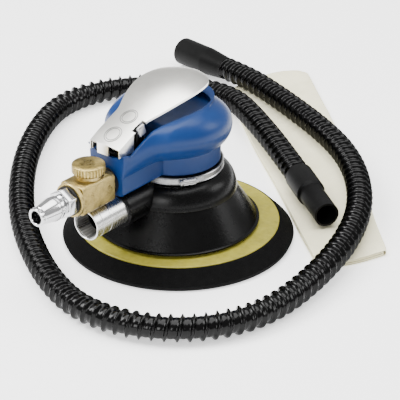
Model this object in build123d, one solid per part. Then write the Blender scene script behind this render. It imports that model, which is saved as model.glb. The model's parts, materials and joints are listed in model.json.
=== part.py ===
from build123d import *
import math
import os

# A pneumatic palm sander with a vane motor, an orbiting pad, a dust port, and the corrugated
# hose and cloth bag that come with it. Millimetres. The origin is on the motor's axis, in the
# plane of the pad's face. +Z is up the motor's axis, and the air inlet points along -X.

# Pad
PAD_RADIUS = 75.0
PAD_FACE_RADIUS = 73.6
HOOK_THICKNESS = 1.5
PLATE_RADIUS = 65.4
PLATE_LOW = 9.0
PLATE_HIGH = 12.4
HUB_RADIUS = 22.0
HUB_HIGH = 14.4
DUST_HOLES = 6
DUST_HOLE_RADIUS = 5.0
DUST_CIRCLE_RADIUS = 40.0
STUD_RADIUS = 3.97
STUD_TOP = 27.0

# Orbit and spindle
ORBIT = 2.5
SPINDLE_RADIUS = 5.0
SPINDLE_TOP = 38.0
SPINDLE_BEARING_LOW = 22.0

# Ball bearings: bore, inner ring, ball, ball circle, outer ring and outside radii
RUNNING_GAP = 0.05
SPINDLE_BEARING = {"bore": 5.0, "inner": 7.5, "ball": 1.7, "circle": 9.25, "outer": 11.0, "outside": 13.0}
LOWER_BEARING = {"bore": 6.0, "inner": 8.5, "ball": 1.5, "circle": 10.05, "outer": 11.6, "outside": 14.0}
UPPER_BEARING = {"bore": 5.0, "inner": 7.3, "ball": 1.4, "circle": 8.75, "outer": 10.2, "outside": 12.5}

# Motor stack, from the bottom to the top
LOCK_RING_LOW = 48.5
MOTOR_LOW = 53.0
LOWER_BEARING_HIGH = 59.5
LINER_LOW = 62.0
LINER_HIGH = 80.0
UPPER_BEARING_LOW = 82.0
MOTOR_HIGH = 88.0
MOTOR_RADIUS = 25.4
LINER_BORE = 18.2
LINER_OFFSET = 1.8
ROTOR_RADIUS = 16.0
END_GAP = 0.3
VANES = 5
VANE_THICKNESS = 1.5
VANE_DEPTH = 6.6

# Housing
HOUSING_RADIUS = 29.0
SPIGOT_RADIUS = 27.6
SPIGOT_LOW = 47.0
SPIGOT_HIGH = 57.6
HOUSING_HIGH = 90.5
BLOCK_REAR = -64.0
BLOCK_HALF_WIDTH = 12.5
BLOCK_LOW = 57.6
BLOCK_HIGH = 74.0

# Grip cover: height, centre and radius of each level
GRIP_LEVELS = [(70.0, 0.0, 29.6), (76.0, -1.5, 34.8), (84.0, -4.0, 39.0), (90.0, -5.5, 38.2),
               (95.0, -8.5, 34.0), (98.5, -11.0, 28.0), (100.5, -13.0, 19.0)]
# Tail of the grip cover: station, half width and top of each section
TAIL_SECTIONS = [(-64.0, 12.9, 82.2), (-57.0, 14.2, 84.5), (-48.0, 18.5, 90.0),
                 (-40.0, 23.0, 94.5), (-24.0, 28.0, 97.0)]
TAIL_FLOOR = 82.2
POCKET_FLOOR = 93.2

# Lever: station and half width of its plan, station and height of its top
LEVER_PLAN = [(-66.0, 12.0), (-52.0, 12.2), (-38.5, 12.6), (-28.0, 15.8), (-20.0, 18.2), (-11.0, 19.9),
              (-2.0, 20.0), (7.0, 18.4), (14.0, 15.4), (19.5, 10.5)]
LEVER_TIP = 23.0
LEVER_TOP = [(-66.0, 90.5), (-56.0, 95.6), (-46.5, 99.6), (-38.5, 102.8), (-29.0, 106.6),
             (-20.5, 109.4), (-11.0, 111.2), (0.0, 112.0), (12.0, 111.4), (23.0, 109.4)]
LEVER_THICKNESS = 1.5
PIVOT_X = -46.5
PIVOT_Z = 96.5
PIVOT_PIN_RADIUS = 1.95

# Throttle valve
VALVE_X = -36.0
VALVE_STEM_RADIUS = 2.0
VALVE_SEAT_LOW = 69.0
VALVE_SEAT_HIGH = 72.0

# Air inlet
INLET_Z = 65.4
INLET_BODY_REAR = -95.5
INLET_BODY_FRONT = -72.0
INLET_BODY_HALF = 9.5
KNOB_X = -80.5
KNOB_RADIUS = 10.3
KNOB_LOW = 78.2
KNOB_HIGH = 83.7
PLUG_MOUTH = -127.0

# Shroud and dust port
SHROUD_NECK_RADIUS = 29.8
SHROUD_JOIN = 38.3
SHROUD_JOIN_RADIUS = 37.2
SKIRT_LOW = 14.3
SKIRT_RADIUS = 53.5
CLAMP_TURN = 237.0
CLAMP_SCREW_OUT = 32.6
CLAMP_SCREW_Z = 54.7
CLAMP_SCREW_RADIUS = 1.75
PORT_Z = 42.5
PORT_RADIUS = 10.0
PORT_BORE = 8.6
PORT_STOP = 9.3
PORT_MOUTH = -84.3
PORT_END = -36.0

# Dust bag, folded flat: its outline on the ground, and its thickness
BAG_OUTLINE = [(186.0, 111.0), (220.0, 109.0), (255.0, 92.0), (188.0, 9.0), (112.0, -76.0),
               (69.0, -120.0), (44.0, -117.0), (23.0, -99.0), (101.0, -5.0), (134.0, 40.0)]
BAG_THICKNESS = 4.2

# Dust hose: its outside, its cuffs and its route
HOSE_DIAMETER = 17.6
CUFF_LARGE_RADIUS = 10.2
CUFF_LARGE_BORE = 9.0
CUFF_LARGE_LENGTH = 50.0
CUFF_SMALL_RADIUS = 9.6
CUFF_SMALL_SPIGOT = 8.2
CUFF_SMALL_BORE = 6.9
CUFF_SMALL_LENGTH = 57.0
HOSE_ROUTE = [
    (202.0, 123.0, 13.0), (197.5, 98.0, 14.2), (190.0, 73.0, 14.0), (178.0, 40.0, 13.9), (163.5, 5.0, 13.9),
    (145.0, -29.0, 13.9), (118.0, -60.0, 13.9), (84.0, -86.0, 13.9), (45.0, -104.0, 13.9),
    (4.0, -114.0, 12.8), (-38.0, -116.0, 9.3), (-72.0, -108.0, 9.1), (-99.0, -87.5, 9.1),
    (-115.5, -58.0, 9.1), (-118.5, -24.0, 9.1), (-107.0, 9.0, 9.1), (-88.0, 42.0, 9.1), (-64.0, 75.0, 9.1),
    (-34.0, 107.0, 9.1), (2.0, 138.0, 9.1), (40.0, 163.0, 9.1), (76.5, 179.0, 9.1), (107.5, 179.0, 9.1),
    (136.0, 166.5, 9.1), (156.5, 143.0, 9.4), (166.0, 114.0, 11.4), (163.0, 83.0, 13.8), (148.0, 55.0, 14.4),
    (130.0, 25.0, 14.4), (112.5, -2.0, 14.4), (95.5, -27.0, 14.4)]


def disc(radius, low, high, x=0.0, y=0.0):
    """A round bar along Z."""
    bar = Cylinder(radius, high - low, align=(Align.CENTER, Align.CENTER, Align.MIN))
    return Pos(x, y, low) * bar


def ring(outside, inside, low, high, x=0.0, y=0.0):
    """A round bar along Z with a hole through it."""
    return disc(outside, low, high, x, y) - disc(inside, low - 1.0, high + 1.0, x, y)


def bar_x(radius, start, end, z, y=0.0):
    """A round bar along X."""
    bar = Cylinder(radius, end - start, align=(Align.CENTER, Align.CENTER, Align.MIN))
    return Pos(start, y, z) * Rot(0, 90, 0) * bar


def bar_y(radius, start, end, x, z):
    """A round bar along Y."""
    bar = Cylinder(radius, end - start, align=(Align.CENTER, Align.CENTER, Align.MIN))
    return Pos(x, start, z) * Rot(-90, 0, 0) * bar


def block(low, high):
    """A rectangular block from its low corner to its high corner."""
    size = [high[axis] - low[axis] for axis in range(3)]
    return Pos(*low) * Box(*size, align=(Align.MIN, Align.MIN, Align.MIN))


def turned(outline, x=0.0):
    """A solid turned about Z from an outline of radius and height."""
    face = Plane.XZ * make_face(Polyline(*outline, close=True))
    return Pos(x, 0, 0) * revolve(face, Axis.Z)


def around(solid, count, x=0.0, start=0.0):
    """Copies of a solid, evenly spaced about a vertical axis."""
    copies = []
    for index in range(count):
        angle = start + 360.0 * index / count
        copies.append(Pos(x, 0, 0) * Rot(0, 0, angle) * Pos(-x, 0, 0) * solid)
    return copies


def fused(solids):
    """One shape from several solids."""
    whole = solids[0]
    for solid in solids[1:]:
        whole = whole + solid
    return whole


def ball_circle(bearing, heights, x=0.0, count=9):
    """The balls of a bearing, as separate solids."""
    balls = []
    for height in heights:
        first = Pos(x + bearing["circle"], 0, height) * Sphere(bearing["ball"])
        balls = balls + around(first, count, x)
    return Compound(children=[ball.solid() for ball in balls])


def outer_ring(bearing, low, high, x=0.0):
    return ring(bearing["outside"], bearing["outer"], low, high, x)


def inner_ring(bearing, low, high, x=0.0):
    return ring(bearing["inner"], bearing["bore"], low, high, x)


# ---------------------------------------------------------------- pad

def dust_holes(low, high):
    first = disc(DUST_HOLE_RADIUS, low, high, ORBIT + DUST_CIRCLE_RADIUS)
    return fused(around(first, DUST_HOLES, ORBIT))


def pad_hook_face():
    return disc(PAD_FACE_RADIUS, 0.0, HOOK_THICKNESS, ORBIT) - dust_holes(-1.0, 3.0)


def pad_foam():
    outline = [(0, HOOK_THICKNESS), (74.2, HOOK_THICKNESS), (PAD_RADIUS, 3.2), (66.9, 11.5),
               (PLATE_RADIUS, 11.5), (PLATE_RADIUS, PLATE_LOW), (0, PLATE_LOW)]
    return turned(outline, ORBIT) - dust_holes(0.0, 14.0)


def pad_plate():
    outline = [(0, PLATE_LOW), (PLATE_RADIUS, PLATE_LOW), (PLATE_RADIUS, PLATE_HIGH - 0.4),
               (PLATE_RADIUS - 0.6, PLATE_HIGH), (HUB_RADIUS + 1.5, PLATE_HIGH), (HUB_RADIUS, HUB_HIGH),
               (0, HUB_HIGH)]
    plate = turned(outline, ORBIT) - dust_holes(0.0, 14.0)
    return plate - disc(12.0, 8.0, 10.5, ORBIT) - disc(STUD_RADIUS, 8.0, 20.0, ORBIT)


def pad_stud():
    return disc(12.0, PLATE_LOW, 10.5, ORBIT) + disc(STUD_RADIUS, 10.5, STUD_TOP, ORBIT)


def spindle():
    outline = [(4.0, HUB_HIGH), (9.5, HUB_HIGH), (9.5, 19.0), (7.0, 20.0), (7.0, SPINDLE_BEARING_LOW),
               (SPINDLE_RADIUS, SPINDLE_BEARING_LOW), (SPINDLE_RADIUS, SPINDLE_TOP), (2.0, SPINDLE_TOP),
               (2.0, 30.0), (4.0, 28.0)]
    flats = block((ORBIT + 8.0, -12, 14), (ORBIT + 12, 12, 19.5))
    return turned(outline, ORBIT) - flats - Pos(-20.0, 0, 0) * flats


def spindle_screw():
    head = disc(4.0, SPINDLE_TOP + 1.2, SPINDLE_TOP + 3.6, ORBIT)
    washer = disc(7.0, SPINDLE_TOP, SPINDLE_TOP + 1.2, ORBIT)
    socket = Pos(ORBIT, 0, SPINDLE_TOP + 2.0) * extrude(RegularPolygon(1.7, 6), 3.0)
    return head + washer + disc(2.0, 30.5, SPINDLE_TOP, ORBIT) - socket


# ---------------------------------------------------------------- rotor

def counterweight():
    half = ring(30.0, 15.0, 29.0, 43.0)
    keep = block((-31.0, -29.0, 28.0), (-4.0, 29.0, 44.0))
    return half & keep


def eccentric_shaft():
    hub = disc(16.5, 20.5, 44.0, ORBIT)
    shaft = disc(LOWER_BEARING["bore"] + 2.0, 44.0, MOTOR_LOW)
    journal = disc(LOWER_BEARING["bore"], MOTOR_LOW, LINER_HIGH - END_GAP)
    top = disc(UPPER_BEARING["bore"], LINER_HIGH - END_GAP, MOTOR_HIGH - 0.5)
    bore = disc(SPINDLE_BEARING["outside"], 20.0, SPINDLE_TOP, ORBIT)
    relief = disc(9.0, SPINDLE_TOP - 1.0, 42.0, ORBIT)
    keyway = block((4.0, -1.2, 65.0), (7.0, 1.2, 77.0))
    return hub + counterweight() + shaft + journal + top - bore - relief - keyway


def spindle_snap_ring():
    whole = ring(SPINDLE_BEARING["outside"], 11.4, 20.8, SPINDLE_BEARING_LOW, ORBIT)
    gap = block((ORBIT + 9, -2.5, 20), (ORBIT + 15, 2.5, 23))
    return whole - gap


def rotor_core():
    core = disc(ROTOR_RADIUS, LINER_LOW + END_GAP, LINER_HIGH - END_GAP)
    core = core - disc(LOWER_BEARING["bore"], 60.0, 90.0) - block((5.0, -1.2, 65.0), (8.0, 1.2, 77.0))
    slot = block((ROTOR_RADIUS - VANE_DEPTH - 0.6, -0.8, 60.0), (ROTOR_RADIUS + 2, 0.8, 90.0))
    for cut in around(slot, VANES, start=36.0):
        core = core - cut
    return core


def rotor_vanes():
    low = (ROTOR_RADIUS - VANE_DEPTH - 0.3, -VANE_THICKNESS / 2, LINER_LOW + END_GAP)
    high = (ROTOR_RADIUS - 0.3, VANE_THICKNESS / 2, LINER_HIGH - END_GAP)
    vane = block(low, high)
    return Compound(children=[copy.solid() for copy in around(vane, VANES, start=36.0)])


def rotor_key():
    return block((4.0, -1.2, 65.0), (8.0, 1.2, 77.0))


# ---------------------------------------------------------------- motor

def lower_end_plate():
    plate = disc(MOTOR_RADIUS, MOTOR_LOW, LINER_LOW)
    plate = plate - disc(LOWER_BEARING["outside"], MOTOR_LOW - 1.0, LOWER_BEARING_HIGH)
    exhaust = around(disc(2.2, 50.0, 70.0, 19.5, 0), 10, start=60.0)[:4]
    plate = plate - disc(LOWER_BEARING["bore"] + 1.0, 55.0, 70.0) - disc(1.5, 58.0, 70.0, 0, -22.0)
    for hole in exhaust:
        plate = plate - hole
    return plate


def upper_end_plate():
    plate = disc(MOTOR_RADIUS, LINER_HIGH, MOTOR_HIGH)
    plate = plate - disc(UPPER_BEARING["outside"], UPPER_BEARING_LOW, 95.0)
    return plate - disc(UPPER_BEARING["bore"] + 1.0, 78.0, 90.0) - disc(1.5, 78.0, 84.0, 0, -22.0)


def cylinder_liner():
    liner = disc(MOTOR_RADIUS, LINER_LOW, LINER_HIGH)
    liner = liner - disc(LINER_BORE, 50.0, 90.0, 0, LINER_OFFSET)
    inlet = bar_x(3.0, -30.0, -15.0, 74.5)
    outlet = Rot(0, 0, 120) * bar_x(2.5, -30.0, -15.0, 67.0)
    liner = liner - inlet - outlet - Pos(0, 0, 7.5) * outlet
    return liner - disc(1.5, 60.0, 82.0, 0, -22.0)


def locating_pin():
    return disc(1.5, 59.0, 83.0, 0, -22.0)


def lock_ring():
    body = ring(26.5, 15.0, LOCK_RING_LOW, MOTOR_LOW)
    for notch in around(disc(2.0, 48.0, 51.5, 20.5, 0), 4, start=45.0):
        body = body - notch
    return body


def motor_housing():
    shell = turned([(0, SPIGOT_LOW), (SPIGOT_RADIUS, SPIGOT_LOW), (SPIGOT_RADIUS, SPIGOT_HIGH),
                    (HOUSING_RADIUS, SPIGOT_HIGH + 1.0), (HOUSING_RADIUS, HOUSING_HIGH - 2.5),
                    (HOUSING_RADIUS - 2.5, HOUSING_HIGH), (0, HOUSING_HIGH)])
    inlet_block = block((BLOCK_REAR, -BLOCK_HALF_WIDTH, BLOCK_LOW), (-20, BLOCK_HALF_WIDTH, BLOCK_HIGH))
    edges = inlet_block.edges().filter_by(Axis.X).group_by(Axis.Z)[0]
    inlet_block = fillet(edges, 2.0)
    boss = disc(6.8, BLOCK_HIGH - 1, TAIL_FLOOR, VALVE_X)
    body = shell + inlet_block + boss
    body = body - disc(26.5, 40.0, MOTOR_LOW) - disc(MOTOR_RADIUS, MOTOR_LOW - 1, MOTOR_HIGH)
    return body - inlet_passages()


def inlet_passages():
    thread = bar_x(6.5, BLOCK_REAR - 1, -50.0, INLET_Z)
    feed = bar_x(4.0, -51.0, VALVE_X, INLET_Z)
    chamber = disc(6.0, BLOCK_LOW - 1, VALVE_SEAT_HIGH, VALVE_X)
    upper = disc(4.5, VALVE_SEAT_HIGH - 1, TAIL_FLOOR + 1, VALVE_X)
    to_motor = bar_x(3.0, VALVE_X, -24.0, 74.5)
    screws = pivot_screw_bar(1.5, 69.5, -6.0) + pivot_screw_bar(1.5, 69.5, 6.0)
    return thread + feed + chamber + upper + to_motor + screws


def lever_plan(grow):
    """The lever's outline seen from above, made larger by grow."""
    side = [(x, half + grow) for x, half in LEVER_PLAN]
    rear = LEVER_PLAN[0][0] - max(grow, 0.0)
    edge = Spline(*side, (LEVER_TIP + grow, 0.0), tangents=[(1, 0), (0, -1)])
    first = Line((rear, side[0][1]), side[0]) if grow > 0 else None
    half = [edge] if first is None else [first, edge]
    other = [mirror(piece, Plane.XZ) for piece in half]
    back = Line((rear, -side[0][1]), (rear, side[0][1]))
    return make_face(Curve() + half + other + [back])


def grip_cover():
    dome = loft([(Pos(x, 0, z) * Circle(radius)).face() for z, x, radius in GRIP_LEVELS])
    sections = []
    for x, half, top in TAIL_SECTIONS:
        plane = Plane(origin=(x, 0, (top + BLOCK_HIGH) / 2), x_dir=(0, 1, 0), z_dir=(1, 0, 0))
        sections.append((plane * RectangleRounded(2 * half, top - BLOCK_HIGH, 2.4)).face())
    tail = loft(sections, ruled=True)
    cover = dome + tail
    cavity = turned([(0, 60), (HOUSING_RADIUS + 0.05, 60), (HOUSING_RADIUS + 0.05, HOUSING_HIGH - 2.5),
                     (HOUSING_RADIUS - 2.4, HOUSING_HIGH + 0.1), (0, HOUSING_HIGH + 0.1)])
    front = extrude(Pos(0, 0, POCKET_FLOOR) * lever_plan(2.5), 20.0)
    rear = extrude(Pos(0, 0, TAIL_FLOOR) * lever_plan(1.3), 20.0) & block((-75, -20, 80), (-29.5, 20, 110))
    saddle = block((-70, -12.6, 60.0), (-20, 12.6, BLOCK_HIGH))
    cover = cover - cavity - front - rear - saddle - disc(6.85, 70, TAIL_FLOOR + 1, VALVE_X)
    return cover - pivot_screw_bar(1.6, 70.0, -6.0) - pivot_screw_bar(1.6, 70.0, 6.0)


# ---------------------------------------------------------------- lever and valve

def lever_strip():
    top = Spline(*LEVER_TOP)
    under = Pos(0, -LEVER_THICKNESS, 0) * top
    ends = [Line(top @ 0, under @ 0), Line(top @ 1, under @ 1)]
    profile = Plane.XZ * make_face(Curve() + [top, under] + ends)
    return extrude(profile, 30.0, both=True)


def below_lever(low, high):
    """A block below the lever's skin, between two corners."""
    under = Spline(*[(x, z - LEVER_THICKNESS + 0.3) for x, z in LEVER_TOP])
    floor = Polyline(under @ 1, (LEVER_TOP[-1][0], 60.0), (LEVER_TOP[0][0], 60.0), under @ 0)
    filled = extrude(Plane.XZ * make_face(Curve() + [under, floor]), 30.0, both=True)
    return filled & block(low, high)


def lever():
    skin = lever_strip() & extrude(Pos(0, 0, 60) * lever_plan(0.0), 80.0)
    skin = skin - block((-51.3, 9.3, 80), (-41.7, 14, 120)) - block((-51.3, -14, 80), (-41.7, -9.3, 120))
    pieces = [skin]
    for side in (-1, 1):
        ear_inner, ear_outer = sorted([side * 10.7, side * 12.1])
        pieces.append(below_lever((-65.9, ear_inner, 84.6), (-52.6, ear_outer, 120)))
        tab_inner, tab_outer = sorted([side * 7.4, side * 9.1])
        pieces.append(below_lever((-49.8, tab_inner, 93.2), (-43.2, tab_outer, 120)))
    pieces.append(below_lever((-66.0, -3.0, 83.4), (-64.6, 8.0, 120)))
    body = fused(pieces)
    return body - bar_y(PIVOT_PIN_RADIUS + RUNNING_GAP, -10, 10, PIVOT_X, PIVOT_Z)


def pivot_block():
    base = block((-62.0, -10.2, TAIL_FLOOR), (-42.2, 10.2, 85.6))
    pieces = [base]
    for side in (-1, 1):
        inner, outer = sorted([side * 9.6, side * 12.4])
        pieces.append(block((-50.1, inner, TAIL_FLOOR), (-42.9, outer, PIVOT_Z)))
        pieces.append(bar_y(3.6, inner, outer, PIVOT_X, PIVOT_Z))
    body = fused(pieces) - bar_y(PIVOT_PIN_RADIUS, -20, 20, PIVOT_X, PIVOT_Z)
    return body - pivot_screw_bar(1.6, 80.0, -6.0) - pivot_screw_bar(1.6, 80.0, 6.0)


def pivot_screw_bar(radius, low, y):
    return disc(radius, low, 85.6, -56.0, y)


def pivot_screws():
    screws = []
    for y in (-6.0, 6.0):
        head = disc(2.8, 85.6, 87.4, -56.0, y) - Pos(-56.0, y, 86.4) * Box(4.4, 0.8, 3.0)
        screws.append((head + pivot_screw_bar(1.5, 70.0, y)).solid())
    return Compound(children=screws)


def lever_pin():
    shank = bar_y(PIVOT_PIN_RADIUS, -12.4, 12.4, PIVOT_X, PIVOT_Z)
    near = bar_y(3.0, -13.6, -12.4, PIVOT_X, PIVOT_Z)
    far = bar_y(3.0, 12.4, 13.6, PIVOT_X, PIVOT_Z)
    return shank + near + far


def valve_stem():
    top = 101.6
    stem = disc(VALVE_STEM_RADIUS, 66.0, top, VALVE_X)
    stem = fillet(stem.edges().group_by(Axis.Z)[-1], 0.8)
    return stem + disc(4.6, 65.0, 67.6, VALVE_X) + disc(1.6, 63.0, 66.0, VALVE_X)


def valve_seal():
    return ring(4.4, VALVE_STEM_RADIUS, 67.6, VALVE_SEAT_LOW, VALVE_X)


def valve_seat():
    return ring(6.0, 3.5, VALVE_SEAT_LOW, VALVE_SEAT_HIGH, VALVE_X)


def valve_guide():
    return ring(4.5, VALVE_STEM_RADIUS + RUNNING_GAP, 78.0, TAIL_FLOOR + 1.5, VALVE_X)


def valve_plug():
    return disc(6.0, BLOCK_LOW, 60.4, VALVE_X) - Pos(VALVE_X, 0, BLOCK_LOW) * Box(8.0, 1.2, 2.4)


def valve_spring():
    wire = 0.45
    path = Helix(pitch=1.2, height=3.6, radius=3.2, center=(VALVE_X, 0, 60.4 + wire + 0.05))
    start = path @ 0
    profile = Plane(origin=start, z_dir=path % 0) * Circle(wire)
    return sweep(profile, path=path)


# ---------------------------------------------------------------- air inlet

def square_bar(half, chamfered, start, end, z):
    """A square bar along X with its long edges cut off."""
    bar = block((start, -half, z - half), (end, half, z + half))
    return chamfer(bar.edges().filter_by(Axis.X), chamfered)


def inlet_body():
    body = square_bar(INLET_BODY_HALF, 2.6, INLET_BODY_REAR, INLET_BODY_FRONT, INLET_Z)
    body = body + bar_x(11.0, -98.4, INLET_BODY_REAR, INLET_Z)
    body = body + bar_x(8.6, INLET_BODY_FRONT, -66.0, INLET_Z) + bar_x(6.5, -66.0, -51.0, INLET_Z)
    body = body + disc(7.2, 72.0, KNOB_LOW - 0.8, KNOB_X)
    bore = bar_x(4.2, -99.0, -50.0, INLET_Z) + bar_x(6.2, -99.0, -90.0, INLET_Z)
    return body - bore - disc(5.0, 58.5, 90.0, KNOB_X)


def regulator_spool():
    spool = disc(4.93, 58.8, 72.0, KNOB_X) + disc(3.6, 72.0, 75.0, KNOB_X) + disc(4.93, 75.0, KNOB_LOW, KNOB_X)
    return spool - bar_x(3.6, -90.0, -70.0, INLET_Z)


def regulator_seal():
    return ring(4.9, 3.6, 72.3, 74.7, KNOB_X)


def regulator_knob():
    knob = disc(KNOB_RADIUS, KNOB_LOW, KNOB_HIGH, KNOB_X)
    knob = chamfer(knob.edges(), 0.5)
    groove = disc(0.45, KNOB_LOW - 1, KNOB_HIGH + 1, KNOB_X + KNOB_RADIUS, 0)
    for cut in around(groove, 36, KNOB_X):
        knob = knob - cut
    return knob


def inlet_seal():
    return ring_x(9.3, 6.5, -66.0, BLOCK_REAR)


def ring_x(outside, inside, start, end):
    return bar_x(outside, start, end, INLET_Z) - bar_x(inside, start - 1, end + 1, INLET_Z)


def plug_seal():
    return ring_x(9.4, 6.2, -99.8, -98.4)


def air_plug():
    hexagon = Pos(-106.2, 0, INLET_Z) * Rot(0, 90, 0) * extrude(RegularPolygon(9.6, 6), 6.4)
    rim = bar_x(9.4, -106.2, -99.8, INLET_Z)
    rim = chamfer(rim.edges(), 1.0)
    outline = [(0, 0), (6.2, 0), (6.3, 1.4), (5.4, 2.6), (5.4, 3.8), (6.75, 4.6), (6.75, 15.0), (5.4, 15.6), (5.4, 17.2),
               (7.6, 17.6), (7.6, 19.4), (6.4, 19.6), (6.4, 20.9), (0, 20.9)]
    nose = Pos(PLUG_MOUTH, 0, INLET_Z) * Rot(0, 90, 0) * turned(outline)
    thread = bar_x(6.2, -99.8, -90.5, INLET_Z)
    return nose + (hexagon & rim) + thread - bar_x(4.2, PLUG_MOUTH - 1, -90.0, INLET_Z)


# ---------------------------------------------------------------- shroud and dust port

def shroud():
    neck = Polyline((27.6, 51.5), (27.6, 57.4), (SHROUD_NECK_RADIUS, 57.4), (SHROUD_NECK_RADIUS, 51.5))
    outside = ThreePointArc((SHROUD_NECK_RADIUS, 51.5), (35.0, 45.6), (SHROUD_JOIN_RADIUS, SHROUD_JOIN))
    foot = Line((SHROUD_JOIN_RADIUS, SHROUD_JOIN), (34.8, SHROUD_JOIN))
    inside = ThreePointArc((34.8, SHROUD_JOIN), (32.7, 44.8), (27.6, 51.5))
    shell = revolve(Plane.XZ * make_face(Curve() + [neck, outside, foot, inside]), Axis.Z)
    boss = bar_x(12.3, -56.0, -30.0, PORT_Z)
    core = disc(32.4, 20.0, 51.0) + disc(31.0, 50.0, 60.0)
    return shell + (boss - core) - bar_x(PORT_RADIUS, -60, PORT_END, PORT_Z) - bar_x(PORT_STOP, -60, -20, PORT_Z)


def skirt():
    outline = [(SHROUD_JOIN_RADIUS + 0.7, SHROUD_JOIN), (SKIRT_RADIUS, SKIRT_LOW), (SKIRT_RADIUS - 2.0, SKIRT_LOW),
               (SHROUD_JOIN_RADIUS - 0.8, 36.2), (34.0, 36.2), (34.0, SHROUD_JOIN)]
    return turned(outline) - bar_x(12.35, -70, -20, PORT_Z)


def clamp_band():
    band = ring(30.6, SHROUD_NECK_RADIUS, 52.6, 56.8)
    carrier = block((30.2, -5.0, 52.2), (34.7, 5.0, 57.2))
    hole = bar_y(CLAMP_SCREW_RADIUS + 0.02, -8, 8, CLAMP_SCREW_OUT, CLAMP_SCREW_Z)
    return Rot(0, 0, CLAMP_TURN) * (band + (carrier - hole))


def clamp_screw():
    screw = bar_y(CLAMP_SCREW_RADIUS, -5.4, 5.0, CLAMP_SCREW_OUT, CLAMP_SCREW_Z)
    screw = screw + bar_y(2.3, -7.4, -5.4, CLAMP_SCREW_OUT, CLAMP_SCREW_Z)
    slot = block((29.0, -8.0, CLAMP_SCREW_Z - 0.4), (36.0, -6.6, CLAMP_SCREW_Z + 0.4))
    return Rot(0, 0, CLAMP_TURN) * (screw - slot)


def exhaust_tube():
    tube = bar_x(PORT_RADIUS, PORT_MOUTH, PORT_END, PORT_Z) - bar_x(PORT_BORE, -90, -30, PORT_Z)
    groove = bar_x(12.0, -79.0, -78.2, PORT_Z) - bar_x(PORT_RADIUS - 0.4, -80, -77, PORT_Z)
    return tube - groove


# ---------------------------------------------------------------- hose and bag

def direction(start, end):
    return (Vector(*end) - Vector(*start)).normalized()


def corner_radii(route):
    """The largest tangent arc at each corner that the two runs allow, in millimetres."""
    radii = []
    for index in range(1, len(route) - 1):
        before = Vector(*route[index]) - Vector(*route[index - 1])
        after = Vector(*route[index + 1]) - Vector(*route[index])
        half_turn = math.radians(before.get_angle(after)) / 2
        radii.append(0.45 * min(before.length, after.length) / math.tan(half_turn))
    return radii


def dust_hose():
    radii = corner_radii(HOSE_ROUTE)
    path = FilletPolyline(*HOSE_ROUTE, radius=radii)
    profile = Plane(origin=path @ 0, z_dir=path % 0) * Circle(HOSE_DIAMETER / 2)
    hose = sweep(profile, path=path)
    expected = path.length * math.pi * HOSE_DIAMETER ** 2 / 4
    print("hose radii", [round(radius) for radius in radii])
    print("hose length", round(path.length, 1), "volume ratio", round(hose.volume / expected, 4))
    return hose


def cuff(end, heading, outline):
    """A cuff turned from distance along its axis and radius, starting at the hose's end."""
    points = [(radius, along) for along, radius in outline]
    face = Plane.XZ * make_face(Polyline(*points, close=True))
    return Plane(origin=end, z_dir=heading) * revolve(face, Axis.Z)


def hose_cuff_large():
    heading = direction(HOSE_ROUTE[1], HOSE_ROUTE[0])
    outline = [(0, 0), (0, 8.2), (21, CUFF_LARGE_RADIUS), (CUFF_LARGE_LENGTH, CUFF_LARGE_RADIUS),
               (CUFF_LARGE_LENGTH, CUFF_LARGE_BORE), (24, CUFF_LARGE_BORE), (20, 6.6), (2, 6.6), (2, 0)]
    return cuff(HOSE_ROUTE[0], heading, outline)


def hose_cuff_small():
    heading = direction(HOSE_ROUTE[-2], HOSE_ROUTE[-1])
    outline = [(0, 0), (0, CUFF_SMALL_RADIUS), (25, CUFF_SMALL_RADIUS), (27, CUFF_SMALL_SPIGOT),
               (CUFF_SMALL_LENGTH, CUFF_SMALL_SPIGOT), (CUFF_SMALL_LENGTH, CUFF_SMALL_BORE),
               (2, CUFF_SMALL_BORE), (2, 0)]
    return cuff(HOSE_ROUTE[-1], heading, outline)


def dust_bag():
    outline = make_face(Polyline(*BAG_OUTLINE, close=True))
    outline = fillet(outline.vertices(), 5.0)
    return extrude(outline, BAG_THICKNESS)


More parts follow.
